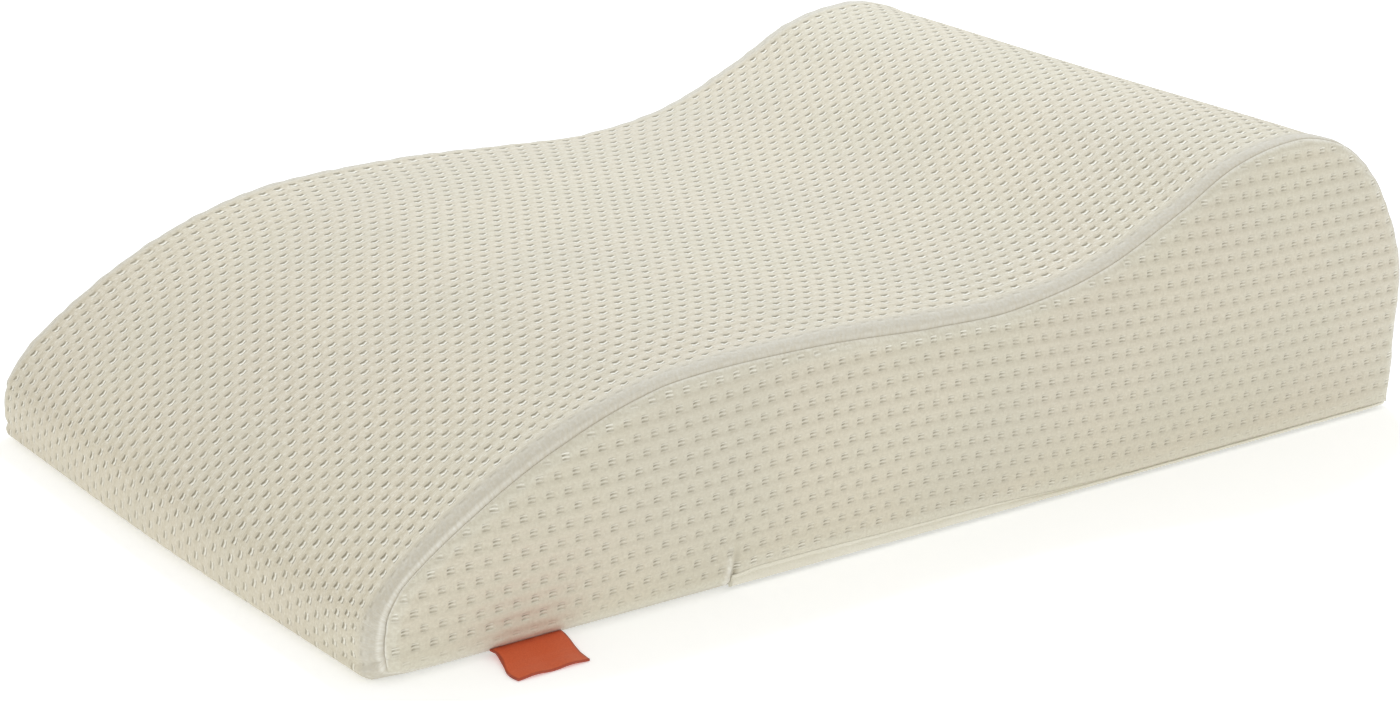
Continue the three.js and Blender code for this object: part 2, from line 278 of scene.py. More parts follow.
def measured_along(points):
    """The distance travelled from the first point to each point."""
    steps = np.linalg.norm(np.diff(points, axis=0), axis=1)
    return np.concatenate([[0], np.cumsum(steps)])


def add_normals(outline):
    """The outward normal at each point of the outline."""
    run = np.roll(outline["x"], -NORMAL_REACH) - np.roll(outline["x"], NORMAL_REACH)
    rise = np.roll(outline["z"], -NORMAL_REACH) - np.roll(outline["z"], NORMAL_REACH)
    length = np.hypot(run, rise)
    outline["out_x"] = -rise / length
    outline["out_z"] = run / length


def closed_outline():
    """The whole outline at mid width at even steps: up the low end, over the top, down the high end and back
    along the bottom, with the depths and the outward normals that go with each point."""
    points, rows = crown_line()
    over = measured_along(points)
    back = np.linalg.norm(points[-1] - points[0])
    total = over[-1] + back
    count = int(round(total / LOOP_STEP))
    travelled = np.arange(count) * total / count
    on_top = travelled <= over[-1]
    returned = np.clip((travelled - over[-1]) / back, 0, 1)
    outline = {"travelled": travelled, "total": total, "over": over[-1]}
    at_row = np.interp(travelled, over, rows)
    for axis, name in enumerate("xz"):
        below = points[-1, axis] + (points[0, axis] - points[-1, axis]) * returned
        outline[name] = np.where(on_top, np.interp(travelled, over, points[:, axis]), below)
    for name in ("edge", "crown", "dish"):
        outline[name] = np.where(on_top, np.interp(at_row, np.arange(len(PROFILE)), column(name)), 0)
    add_normals(outline)
    outline["row_places"] = np.interp(np.arange(len(PROFILE)), rows, over)
    return outline


OUTLINE = closed_outline()
WRAP_PITCH = OUTLINE["over"] / WRAP_PITCHES
WRAP_ROW = (WIDTH - 2 * BAND) / WRAP_ROWS


def at(name, travelled):
    """A value of the outline at any distance along it."""
    total = OUTLINE["total"]
    return np.interp(travelled % total, OUTLINE["travelled"], OUTLINE[name], period=total)


def drawn_in(travelled, x, z, rounding, across):
    """How far the surface lies inside the outline at mid width."""
    to_nose = np.clip((NOSE_CORNER - LENGTH / 2 - x) / NOSE_CORNER, 0, 1)
    under = (UNDER_EDGE + UNDER_NOSE * to_nose ** 2) * rounding
    top = at("edge", travelled) * rounding + at("crown", travelled) * across ** 2
    top = top + at("dish", travelled) * (1 - across ** DISH_POWER)
    return under + (top - under) * ease(z / UNDER_BLEND)


def body_point(travelled, y):
    """The filled body's surface, by the distance along the outline and the place across the width."""
    to_edge = 1 - np.clip((WIDTH / 2 - np.abs(y)) / EDGE_RADIUS, 0, 1)
    rounding = 1 - np.sqrt(1 - to_edge ** 2)
    x, z = at("x", travelled), at("z", travelled)
    inward = drawn_in(travelled, x, z, rounding, np.abs(y) / (WIDTH / 2))
    foot = rounding * ease(1 - z / FOOT_HEIGHT) * (x < FOOT_EDGE)
    foot_z = FOOT_RISE + FOOT_SLOPE * z
    x = x - at("out_x", travelled) * inward
    z = z - at("out_z", travelled) * inward
    x = x + FOOT_PULL * foot * np.maximum(FOOT_EDGE - x, 0)
    z = z + foot * np.maximum(foot_z - z, 0)
    return np.stack([x, np.broadcast_to(y, x.shape), z], -1)


def pucker(travelled, depth, to_corner):
    """Height of the gathers along a seam, by the distance along it, from it and from the low end's foot."""
    waves = sum(share * np.sin(TURN * travelled / length + phase) for length, share, phase in PUCKER_WAVES)
    stronger = 1 + CORNER_PUCKER * np.exp(-(to_corner / CORNER_REACH) ** 2)
    return PUCKER_HEIGHT * waves * np.exp(-depth / PUCKER_REACH) * stronger


def bowl(along, across):
    """A dimple's shape, 1 at its middle and 0 outside it, by the distances from its middle."""
    length = np.clip(1 - (along / PIT_HALF_LENGTH) ** 2, 0, 1)
    width = np.clip(1 - (across / PIT_HALF_WIDTH) ** 2, 0, 1)
    return length * width


def lattice(pitches, rows):
    """The two slanted coordinates in which every dimple has whole numbers."""
    return np.stack([pitches + rows / 2, pitches - rows / 2], -1)


def from_dimple(coordinates, pitch, row):
    """Distances along and across to the nearest dimple's middle."""
    rest = coordinates - np.round(coordinates)
    return (rest[..., 0] + rest[..., 1]) / 2 * pitch, (rest[..., 0] - rest[..., 1]) * row


def outward_normals(points):
    """Unit normals of the wrap's grid, whose columns close on themselves, away from the pillow's middle."""
    wrapped = np.concatenate([points[:, -1:], points, points[:, :1]], 1)
    along = (wrapped[:, 2:] - wrapped[:, :-2]) / 2
    normal = np.cross(along, np.gradient(points, axis=0))
    normal = normal / np.linalg.norm(normal, axis=-1, keepdims=True)
    middle = np.array([0, 0, MIDDLE_HEIGHT])
    return normal * np.sign(np.mean(np.sum((points - middle) * normal, -1)))


def add_object(name, data):
    """An object of the scene, from its mesh, camera or light."""
    thing = bpy.data.objects.new(name, data)
    bpy.context.scene.collection.objects.link(thing)
    return thing


def make_mesh(name, vertices, faces, flat_from=0):
    """A mesh object from millimetres. Faces from flat_from on are flat, and the others are smooth."""
    mesh = bpy.data.meshes.new(name)
    mesh.from_pydata((np.asarray(vertices) * MM).tolist(), [], faces)
    mesh.polygons.foreach_set("use_smooth", np.arange(len(faces)) < flat_from)
    mesh.update()
    return add_object(name, mesh)


def set_masks(piece, **masks):
    """Values for each vertex that a material reads. Vertices past the end of a mask get 0."""
    for name, values in masks.items():
        full = np.zeros(len(piece.data.vertices), np.float32)
        full[:np.size(values)] = np.ravel(values)
        piece.data.attributes.new(name, "FLOAT", "POINT").data.foreach_set("value", full)


def set_lattice(piece, corners):
    """The knit's coordinates for each corner of each face. Corners past the end of the list get 0."""
    full = np.zeros((len(piece.data.loops), 2), np.float32)
    full[:len(corners)] = corners
    piece.data.uv_layers.new(name="lattice").data.foreach_set("uv", full.ravel())


def grid_quads(rows, columns, closed=False):
    """The four corners of each cell of a grid, by vertex number."""
    ids = np.arange(rows * columns).reshape(rows, columns)
    after = np.roll(ids, -1, 1) if closed else ids[:, 1:]
    before = ids if closed else ids[:, :-1]
    return np.stack([before[:-1], after[:-1], after[1:], before[1:]], -1).reshape(-1, 4)


def end_caps(rows, columns):
    """Triangles from a closed grid's first and last row to the two vertices that follow the grid's own."""
    faces = []
    for first, middle in ((0, rows * columns), ((rows - 1) * columns, rows * columns + 1)):
        for k in range(columns):
            edge = [first + k, first + (k + 1) % columns]
            faces.append([*(edge if first else edge[::-1]), middle])
    return faces


def across_the_wrap():
    """Places across the width that have a grid line, with the row of dimples that each is at."""
    places, rows = [], []
    for depth in BAND_DEPTHS:
        places.append(depth - WIDTH / 2)
        rows.append((depth - BAND) / WRAP_ROW - 0.5)
    for row in range(WRAP_ROWS):
        for share in ROW_SHARES:
            places.append(BAND - WIDTH / 2 + (row + 0.5 + share) * WRAP_ROW)
            rows.append(row + share)
    places.append(WIDTH / 2 - BAND)
    rows.append(WRAP_ROWS - 0.5)
    for depth in BAND_DEPTHS[::-1]:
        places.append(WIDTH / 2 - depth)
        rows.append(WRAP_ROWS - 0.5 + (BAND - depth) / WRAP_ROW)
    return np.array(places)[:, None], np.array(rows)[:, None]


def along_the_wrap():
    """Distances along the outline that have a grid line."""
    over, total = OUTLINE["over"], OUTLINE["total"]
    top = np.arange(WRAP_PITCHES * STEPS_PER_PITCH + 1) * WRAP_PITCH / STEPS_PER_PITCH
    bottom = over + (total - over) * np.arange(1, BOTTOM_STEPS) / BOTTOM_STEPS
    return np.concatenate([top, bottom])[None, :]


def cage_mesh(points):
    """A coarse closed mesh of the wrap and the vertices that its seams and the surface hold."""
    rows, columns = points.shape[:2]
    count = rows * columns
    vertices = np.vstack([points.reshape(-1, 3), points[0].mean(0), points[-1].mean(0)]) * MM
    faces = grid_quads(rows, columns, closed=True).tolist() + end_caps(rows, columns)
    on_seams = {*range(columns), *range(count - columns, count + 2)}
    resting = np.flatnonzero(points[..., 2].ravel() < CAGE_PIN_HEIGHT).tolist()
    mesh = bpy.data.meshes.new("cage")
    mesh.from_pydata(vertices.tolist(), [], faces)
    return mesh, sorted(on_seams.union(resting))


def settled(points):
    """Where a coarse grid of the wrap ends up under the filling's pressure."""
    mesh, held = cage_mesh(points)
    cage = add_object("cage", mesh)
    cage.vertex_groups.new(name="held").add(held, 1, "REPLACE")
    cloth = cage.modifiers.new("cloth", "CLOTH")
    cloth.settings.use_pressure = True
    cloth.settings.uniform_pressure_force = CAGE_PRESSURE
    cloth.settings.shrink_min = CAGE_SHRINK
    cloth.settings.vertex_group_mass = "held"
    cloth.settings.effector_weights.gravity = 0
    cloth.point_cache.frame_end = CAGE_FRAMES
    for frame_number in range(1, CAGE_FRAMES + 1):
        bpy.context.scene.frame_set(frame_number)
    solved = cage.evaluated_get(bpy.context.evaluated_depsgraph_get()).to_mesh()
    places = np.empty(len(solved.vertices) * 3)
    solved.vertices.foreach_get("co", places)
    bpy.context.scene.frame_set(1)
    bpy.data.objects.remove(cage)
    bpy.data.meshes.remove(mesh)
    return places[:points.size].reshape(points.shape) / MM


def evened(values):
    """A grid of values with its unevenness smoothed. Its columns close on themselves."""
    for _ in range(CAGE_SMOOTHING):
        beside = np.roll(values, 1, 1) + np.roll(values, -1, 1)
        above = np.vstack([values[:1], values[:-1]]) + np.vstack([values[1:], values[-1:]])
        values = (4 * values + beside + above) / 8
    return values


def pressed_out(points, outward):
    """How far the filling's pressure moves each point of the wrap outward, less the middle value."""
    rows, columns = points.shape[:2]
    some_rows = np.round(np.linspace(0, rows - 1, CAGE_ROWS)).astype(int)
    some_columns = np.round(np.arange(CAGE_COLUMNS) * columns / CAGE_COLUMNS).astype(int)
    coarse = points[some_rows][:, some_columns]
    moved = np.sum((settled(coarse) - coarse) * outward[some_rows][:, some_columns], -1)
    free = coarse[..., 2] > CAGE_PIN_HEIGHT
    moved = evened(np.clip(moved - np.median(moved[free]), -SWELL_CAP, SWELL_CAP) * free)
    along = np.stack([np.interp(np.arange(columns), some_columns, line, period=columns) for line in moved])
    return np.stack([np.interp(np.arange(rows), some_rows, line) for line in along.T], 1)


def bent(travelled, places):
    """Distances along the outline of the wrap's points, once its columns bend where the top is dished."""
    ends = ease(np.minimum(travelled, OUTLINE["over"] - travelled) / BOW_FADE)
    bend = at("dish", travelled) / column("dish").max() * ends
    across = np.abs(places) / (WIDTH / 2)
    return travelled - BOW * bend * across ** BOW_POWER


def raised_wrap(points, outward, travelled, depth):
    """How far the thread's ridge, the gathers and the filling's pressure raise each point of the wrap."""
    ridge = RIDGE_HEIGHT * hump(depth, RIDGE_DEPTH, RIDGE_WIDTH)
    gathers = pucker(travelled, depth, travelled) * ease(depth / SEAM_HOLD)
    pressed = pressed_out(points, outward) * ease(depth / SWELL_REACH)
    return (ridge + gathers + pressed) * ease(points[..., 2] / UNDER_BLEND)


def wrap_lattice(travelled, rows):
    """The knit's coordinates at the corners of the wrap's faces, the last of which meet the first column."""
    turns = np.append(travelled, OUTLINE["total"]) / WRAP_PITCH
    corner_turns = np.stack([turns[:-1], turns[1:], turns[1:], turns[:-1]], -1)
    corner_rows = np.stack([rows[:-1], rows[:-1], rows[1:], rows[1:]], -1)
    return lattice(corner_turns, corner_rows).reshape(-1, 2)


def thread_shine(x):
    """How white the seam's pale thread and its painted highlight are along the pillow."""
    return THREAD_HIGHLIGHT + (1 - THREAD_HIGHLIGHT) * ease((THREAD_CORNER - x) / THREAD_FADE)


def make_cushion():
    """The wrap and its filling as one closed form, with real dimples on its top and both ends."""
    places, rows = across_the_wrap()
    travelled = along_the_wrap()
    depth = WIDTH / 2 - np.abs(places)
    points = body_point(bent(travelled, places), places)
    along, across = from_dimple(lattice(travelled / WRAP_PITCH, rows), WRAP_PITCH, WRAP_ROW)
    stretched = LOW_RELIEF + (1 - LOW_RELIEF) * ease(points[..., 2] / LOW_REACH)
    relief = ease((depth - RELIEF_FROM) / RELIEF_OVER) * stretched
    on_top = ease((OUTLINE["over"] - travelled) / END_FADE) * ease(travelled / END_FADE)
    sunk = PIT_DEPTH * bowl(along, across) * relief * on_top
    outward = outward_normals(points)
    points = points + outward * (raised_wrap(points, outward, travelled, depth) - sunk)[..., None]
    points[..., 2] = np.maximum(points[..., 2], 0)
    core = [[SIDE_CORE_MIDDLE, side * (WIDTH / 2 + SIDE_CORE_SWELL), MIDDLE_HEIGHT] for side in (-1, 1)]
    faces = grid_quads(*points.shape[:2], closed=True).tolist()
    all_faces = faces + end_caps(*points.shape[:2])
    cushion = make_mesh("cushion_knit", np.vstack([points.reshape(-1, 3), core]), all_faces, len(faces))
    set_lattice(cushion, wrap_lattice(travelled, rows))
    # The band's grey is painted shade on the rounded edge beside the seam
    banded = (1 - ease((depth - BAND + BAND_INSET) / BAND_FADE)) * np.ones_like(relief)
    # The pale thread beside the seam, painted whiter as a highlight
    lit_thread = hump(depth, THREAD_DEPTH, THREAD_REACH) * thread_shine(points[..., 0])
    set_masks(cushion, relief=relief, band=banded, thread=lit_thread, bright=0, crease=0)
    return cushion


def seam_stretches():
    """The side seam's four stretches, each from the low end to the high end or from the bottom up."""
    places = OUTLINE["row_places"]
    return {
        "front": (0, places[NOSE_TOP_ROW]),
        "top": (places[NOSE_TOP_ROW], places[REAR_TOP_ROW]),
        "rear": (places[-1], places[REAR_TOP_ROW]),
        "bottom": (OUTLINE["total"], places[-1]),
    }


def seam_place(name, share):
    """The place at a share of one stretch of the side seam, along the pillow and up."""
    start, end = seam_stretches()[name]
    return body_point(start + (end - start) * share, np.float64(-WIDTH / 2))[..., [0, 2]]


def side_point(u, v):
    """A place on the side, u from the low end to the high end and v from the bottom up, with its swell."""
    corner = {(i, j): seam_place("top" if j else "bottom", np.float64(i)) for i in (0, 1) for j in (0, 1)}
    swell = SIDE_SWELL * (1 - (2 * u - 1) ** SWELL_POWER) * (1 - (2 * v - 1) ** 2)
    bottom, top = seam_place("bottom", u), seam_place("top", u)
    front, rear = seam_place("front", v), seam_place("rear", v)
    u, v = u[..., None], v[..., None]
    lines = (1 - v) * bottom + v * top + (1 - u) * front + u * rear
    low = (1 - v) * ((1 - u) * corner[0, 0] + u * corner[1, 0])
    high = v * ((1 - u) * corner[0, 1] + u * corner[1, 1])
    place = lines - low - high
    return place[..., 0], place[..., 1], swell


def from_rim(x, z):
    """Distance of each place on a side from the rim of that grid."""
    rim_x = np.concatenate([x[0], x[:, -1], x[-1], x[:, 0]])
    rim_z = np.concatenate([z[0], z[:, -1], z[-1], z[:, 0]])
    nearest = np.empty(x.shape)
    for row in range(len(x)):
        nearest[row] = np.hypot(x[row][:, None] - rim_x, z[row][:, None] - rim_z).min(1)
    return nearest


def placket_share(u):
    """How far up the side the placket reaches, as a share of the height there."""
    low_x, low_z, _ = side_point(u, np.zeros_like(u))
    high_z = side_point(u, np.ones_like(u))[1]
    turn = TURN * (low_x - PLACKET_START) / PLACKET_WAVE_LENGTH
    start = PLACKET_START_LOW * (1 - ease((low_x - PLACKET_START) / PLACKET_START_OVER))
    fall = ease((low_x - PLACKET_FALL_FROM) / PLACKET_FALL_OVER)
    height = PLACKET_HEIGHT + (PLACKET_REAR_HEIGHT - PLACKET_HEIGHT) * fall
    height = height + PLACKET_WAVE * np.sin(turn) * (1 - fall) - start
    return np.where(low_x < PLACKET_START, 0, height / (high_z - low_z))


def side_grid(rows, with_placket):
    """A side panel's grid: shares along and up the side, shares up the panel, and where the panel starts."""
    u = np.linspace(0, 1, SIDE_COLUMNS + 1)
    lowest = placket_share(u) if with_placket else np.zeros_like(u)
    up = np.linspace(0, 1, rows + 1)[:, None]
    v = lowest + (1 - lowest) * up
    return np.broadcast_to(u, v.shape), v, up, lowest


def side_lattice(x, z):
    """The knit's coordinates on a side, where the rows have a soft wave and the columns lean."""
    wave = SIDE_WAVE * hump(x, SIDE_WAVE_MIDDLE, SIDE_WAVE_SPREAD)
    return lattice((x + SIDE_SLANT * z) / SIDE_PITCH, (z - wave) / SIDE_ROW)


def panel_thickness(rim, up, lowest):
    """A panel's thickness, which rolls in at its rim, but less so at the folded edge over the placket."""
    folded = FOLD_HOLD * (lowest > 0) * (1 - up) ** FOLD_FADE
    roll = np.sin(math.pi / 2 * np.clip((rim + folded) / PANEL_ROLL, 0, 1))
    return PANEL_RIM_THICKNESS + (PANEL_THICKNESS - PANEL_RIM_THICKNESS) * roll


def tack_crease(x, z):
    """The short upright crease where the placket is tacked down."""
    crease = 0
    for offset, height in zip(TACK_OFFSETS, TACK_HEIGHTS):
        crease = crease + height * hump(x, PLACKET_START + offset, TACK_WIDTH)
    return crease * ease((TACK_TOP - z) / TACK_TOP) * ease(z / TACK_FOOT)


def panel_masks(x, rim, up, crease):
    """What the knit's material reads on a side panel, apart from its relief."""
    ridge = np.clip(crease, 0, 1)
    # The pale thread at the rim, painted whiter as a highlight
    lit_thread = hump(rim, 0, THREAD_REACH) * thread_shine(x) * ease(up / THREAD_RISE)
    return {
        # Painted highlight on the strip beside the rim and on the tack's ridge
        "bright": np.maximum(1 - ease((rim - RIM_HIGHLIGHT_FROM) / RIM_HIGHLIGHT_OVER), ridge),
        # Painted shade in the tack's groove
        "crease": np.clip(-crease, 0, 1),
        # The thread's painted highlight, and the painted highlight on the tack's ridge
        "thread": np.maximum(lit_thread, TACK_HIGHLIGHT * ridge),
        "band": 0,
    }


def make_side_panel(name, facing, with_placket):
    """A panel sewn into a side: a closed sheet that follows the swelled side and rolls into its seam."""
    u, v, up, lowest = side_grid(SIDE_ROWS, with_placket)
    x, z, swell = side_point(u, v)
    rim = from_rim(x, z)
    coordinates = side_lattice(x, z)
    along, across = from_dimple(coordinates, SIDE_PITCH, SIDE_ROW)
    relief = ease((rim - SIDE_RELIEF_FROM) / SIDE_RELIEF_OVER) * ease((z - SIDE_LOW_FROM) / SIDE_LOW_OVER)
    crease = tack_crease(x, z) if with_placket else np.zeros_like(x)
    gathers = pucker(x + z, rim, np.hypot(x + LENGTH / 2, z)) * ease(rim / PANEL_HOLD)
    back_u, back_v, *_ = side_grid(SIDE_BACK_ROWS, with_placket)
    back_x, back_z, back_swell = side_point(back_u, back_v)
    back = WIDTH / 2 + PANEL_GAP + back_swell
    out = WIDTH / 2 + PANEL_GAP + swell + panel_thickness(rim, up, lowest)
    out = out - PIT_DEPTH * bowl(along, across) * relief + gathers + crease
    outer = np.stack([x, facing * out, z], -1)
    inner = np.stack([back_x, facing * back, back_z], -1)
    panel = closed_sheet(name, outer, inner, flip=facing > 0)
    set_lattice(panel, coordinates.reshape(-1, 2)[grid_quads(*x.shape).ravel()])
    set_masks(panel, relief=relief, **panel_masks(x, rim, up, crease))
    return panel


def closed_sheet(name, outer, inner, flip=False):
    """A closed solid between two grids with the same columns, which may differ in rows."""
    columns = outer.shape[1]
    front = np.arange(outer.size // 3).reshape(-1, columns)
    back = front.size + np.arange(inner.size // 3).reshape(-1, columns)
    outer_quads = grid_quads(*front.shape)
    inner_quads = grid_quads(*back.shape)[:, ::-1] + front.size
    low = np.stack([front[0, 1:], front[0, :-1], back[0, :-1], back[0, 1:]], -1)
    high = np.stack([front[-1, :-1], front[-1, 1:], back[-1, 1:], back[-1, :-1]], -1)
    edges = np.stack([low, high], 1).reshape(-1, 4)
    faces = np.vstack([outer_quads, inner_quads, edges]).tolist()
    first_end, last_end = (np.append(front[:, k], back[::-1, k]) for k in (0, -1))
    faces += [first_end.tolist(), last_end[::-1].tolist()]
    if flip:
        faces = [face[::-1] for face in faces]
    return make_mesh(name, np.vstack([outer.reshape(-1, 3), inner.reshape(-1, 3)]), faces, len(outer_quads))


def make_placket():
    """The folded strip along the bottom of the near side, from its tack to the high end's corner."""
    u = np.linspace(0, 1, SIDE_COLUMNS + 1)
    u = u[placket_share(u) > 0]
    height = placket_share(u)
    fold = np.array(PLACKET_FOLD)
    out, up = fold[:, :1], fold[:, 1:]
    low_x, low_z, _ = side_point(u, np.zeros_like(u))
    edge_x, edge_z, _ = side_point(u, height)
    raised = np.clip(up, 0, None)
    swell = side_point(np.broadcast_to(u, (len(fold), len(u))), raised * height)[2]
    x = low_x + (edge_x - low_x) * raised
    z = low_z + raised * (edge_z - PANEL_GAP - low_z) + np.clip(up, None, 0) * PLACKET_UNDER
    to_end = np.clip(1 - (low_x[-1] - low_x) / PLACKET_END_OVER, 0, 1)
    z = z + PLACKET_END_RISE * (1 - np.sqrt(1 - to_end ** 2)) * (1 - raised)
    uneven = PLACKET_UNEVEN * pucker(x + PLACKET_TWIST * z, 0, LENGTH) * np.clip(out, 0, 1)
    thick = out * (1 - PLACKET_END_THIN * to_end ** 2) + uneven
    outer = np.stack([x, -(WIDTH / 2 + GAP + swell + thick), z], -1)
    inner = np.stack([x, -(WIDTH / 2 + GAP + swell), z], -1)
    return closed_sheet("placket_strip", outer[::-1], inner[::-1])


def make_label():
    """The bare satin tab, which slopes down from the seam and lies on the surface."""
    fall = np.array(LABEL_FALL, float)
    out = np.linspace(0, LABEL_LENGTH, LABEL_STEPS + 1)[:, None]
    share = np.linspace(0, 1, LABEL_STEPS + 1)[None, :]
    freed = ease(out / LABEL_LENGTH)
    x = LABEL_MIDDLE + (share - 0.5) * LABEL_WIDTH + LABEL_SKEW * freed
    x = x + LABEL_SWAY * np.sin(TURN * out / LABEL_LENGTH) * (1 - share)
    y = np.broadcast_to(-(WIDTH / 2 + GAP + out), x.shape)
    ripple = LABEL_RIPPLE * freed * (1 - np.cos(TURN * LABEL_RIPPLES * share))
    z = np.interp(out, fall[:, 0], fall[:, 1]) + ripple
    upper = np.stack([x, y, z + LABEL_THICKNESS], -1)
    lower = np.stack([x, y, z], -1)
    label = closed_sheet("label_satin", upper[::-1], lower[::-1])
    to_side = (0.5 - np.abs(share - 0.5)) * LABEL_WIDTH
    to_edge = np.minimum(to_side, LABEL_LENGTH - out)[::-1]
    dark = 1 - ease(to_edge / SELVEDGE)
    set_masks(label, selvedge=np.concatenate([dark, dark]))
    return label


class Graph:
    """A material's nodes, one call for each."""

    def __init__(self, name):
        self.material = bpy.data.materials.new(name)
        self.material.use_nodes = True
        self.tree = self.material.node_tree
        self.tree.nodes.clear()
        self.shader = self.add("ShaderNodeBsdfPrincipled")
        output = self.add("ShaderNodeOutputMaterial")
        self.tree.links.new(self.shader.outputs[0], output.inputs[0])

    def add(self, kind, **settings):
        node = self.tree.nodes.new(kind)
        for name, value in settings.items():
            setattr(node, name, value)
        return node

    def put(self, socket, value):
        """Links a node's output to an input, or sets the input to a constant."""
        if isinstance(value, bpy.types.NodeSocket):
            self.tree.links.new(value, socket)
        else:
            socket.default_value = value

    def shade(self, values):
        """Sets or links the shader's own sockets, by their names."""
        for name, value in values.items():
            self.put(self.shader.inputs[name], value)

    def math(self, operation, *values):
        node = self.add("ShaderNodeMath", operation=operation)
        for socket, value in zip(node.inputs, values):
            self.put(socket, value)
        return node.outputs[0]

    def product(self, first, *others):
        for other in others:
            first = self.math("MULTIPLY", first, other)
        return first

    def ramp(self, value, low, high, start=0.0, end=1.0):
        """start below low, end above high, and a smooth step between them."""
        node = self.add("ShaderNodeMapRange", interpolation_type="SMOOTHSTEP")
        for socket, given in zip(node.inputs, (value, low, high, start, end)):
            self.put(socket, given)
        return node.outputs[0]

    def blend(self, share, first, second, kind="MIX"):
        """Mixes two colours."""
        node = self.add("ShaderNodeMix", data_type="RGBA", blend_type=kind)
        self.put(node.inputs["Factor"], share)
        colours = [socket for socket in node.inputs if socket.type == "RGBA"]
        for socket, value in zip(colours, (first, second)):
            self.put(socket, value)
        return [socket for socket in node.outputs if socket.type == "RGBA"][0]

    def past(self, distance, half):
        """How far outside a half length a signed distance lies."""
        return self.math("MAXIMUM", self.math("SUBTRACT", self.math("ABSOLUTE", distance), half), 0.0)

    def mask(self, name):
        return self.add("ShaderNodeAttribute", attribute_name=name).outputs["Fac"]

    def place(self):
        """Where on the object a point lies, in metres."""
        return self.add("ShaderNodeTexCoord").outputs["Object"]

    def noise(self, place, scale, detail, roughness=0.5):
        node = self.add("ShaderNodeTexNoise")
        self.put(node.inputs["Vector"], place)
        for name, value in (("Scale", scale), ("Detail", detail), ("Roughness", roughness)):
            node.inputs[name].default_value = value
        return node.outputs["Fac"]

    def split(self, vector):
        node = self.add("ShaderNodeSeparateXYZ")
        self.put(node.inputs[0], vector)
        return node.outputs

    def join(self, x, y):
        node = self.add("ShaderNodeCombineXYZ")
        for socket, value in zip(node.inputs, (x, y)):
            self.put(socket, value)
        return node.outputs[0]

    def bump(self, height, strength, distance):
        """Bumps the shader's normal by a height, whose unit is given in millimetres."""
        node = self.add("ShaderNodeBump")
        node.inputs["Strength"].default_value = strength
        node.inputs["Distance"].default_value = distance * MM
        self.put(node.inputs["Height"], height)
        self.shade({"Normal": node.outputs[0]})


def colour(red, green, blue):
    """A linear colour from the usual 0 to 255 values, by the sRGB curve."""
    def linear(value):
        value = value / 255
        return value / 12.92 if value <= 0.04045 else ((value + 0.055) / 1.055) ** 2.4
    return (linear(red), linear(green), linear(blue), 1)


def scaled(tone, tint):
    """A colour times a tint."""
    return tuple(a * b for a, b in zip(tone, tint))


# The knit's colours
CREAM = colour(224, 216, 195)
SIDE_CREAM = colour(221, 214, 195)
# Painted shade of the rounded band beside each seam
BAND_SHADE_GREY = colour(217, 214, 203)
# The knit's dark ground in the dimples, deepened by painted shade in their hollows
PIT_SHADE_TONE = colour(150, 142, 120)
# The light yarns' own paleness with a painted highlight, also used on the flecks
YARN_HIGHLIGHT = colour(253, 251, 239)
PATCH_TINT = (0.965, 0.965, 0.98, 1)  # of the slightly darker patches
COOL_TINT = (0.975, 0.99, 0.99, 1)  # of the patches that look greener
STRIP_HIGHLIGHT_TONE = colour(232, 231, 217)  # a painted highlight on the side beside the seam and on the tack's ridge
STRIP_HIGHLIGHT_SHARE = 0.4
# Painted shade in the groove of the tack's crease
CREASE_SHADE_TONE = colour(150, 143, 122)
# The pale seam thread, painted whiter as a highlight
THREAD_HIGHLIGHT_WHITE = colour(247, 246, 238)
RIB_AND_SHADE_TINT = (0.80, 0.79, 0.77, 1)  # of the lines between the fine ribs, and of the painted shade in the valleys beside the rows of dimples
RIB_SHARE = 0.5
SPECK_SHARE = 0.5  # of the band's grey specks

# The knit's marks and unevenness. A noise has a scale, a detail and sometimes a roughness.
MARK_SOFTNESS = 0.7  # width in millimetres over which a dimple's marks fade out
LEAST_STRENGTH = 0.6  # of the weakest dimple's marks, where the strongest has 1
LINE_SHARPNESS = 1.5  # of the dark lines between a dimple's yarns
RIM_HIGHLIGHT_GAIN = 1.2  # of the painted highlight on the yarns in the side's first row beside the seam
PATCH_NOISE = (9, 3)
PATCH_RANGE = (0.35, 0.65)  # of a noise, over which its effect grows
DRIFT_NOISE = (16, 1)
DRIFT_RANGE = (0.4, 0.6)
SPECK_NOISE = (650, 2)
RIB_NOISE = (1, 3, 0.6)
RIB_RANGE = (0.3, 0.7)
RIB_SCALES = (0.6, 0.5)  # of the ribs' noise along and across the cloth, for each millimetre
FLECK_NOISE = (1, 1)
FLECK_RANGE = (0.5, 0.72)  # of the light flecks between the dimples, which are painted highlights
FLECK_SCALES = (0.4, 1.3)

# The knit's fine relief in millimetres, and its shine
YARN_HEIGHT = 0.5
RIB_HEIGHT = 0.5
SPECK_HEIGHT = 0.12
VALLEY_DEPTH = 0.5  # between the rows of dimples
KNIT_BUMP = (0.6, 1)  # strength, and the unit of height
KNIT_ROUGHNESS = (0.15, 0.72)  # how much the ribs add, and the least
KNIT_SHINE = {"Specular IOR Level": 0.3, "Sheen Weight": 0.25, "Sheen Roughness": 0.4}

# The placket's folded knit
# Both tones are painted paler than the side's knit: painted light for the shade on the strip's
# downward-facing fold
TURNED_LIGHT = colour(236, 233, 219)
TURNED_DARK = colour(230, 226, 210)
TURNED_FIBRE = colour(212, 206, 188)
TURNED_FIBRE_SHARE = 0.25
TURNED_FIBRE_NOISE = (900, 3)
TURNED_PATCH_NOISE = (14, 2)
TURNED_BUMP = (0.5, 0.3)
TURNED_ROUGHNESS = (0.2, 0.65)
TURNED_SHEEN = 0.12

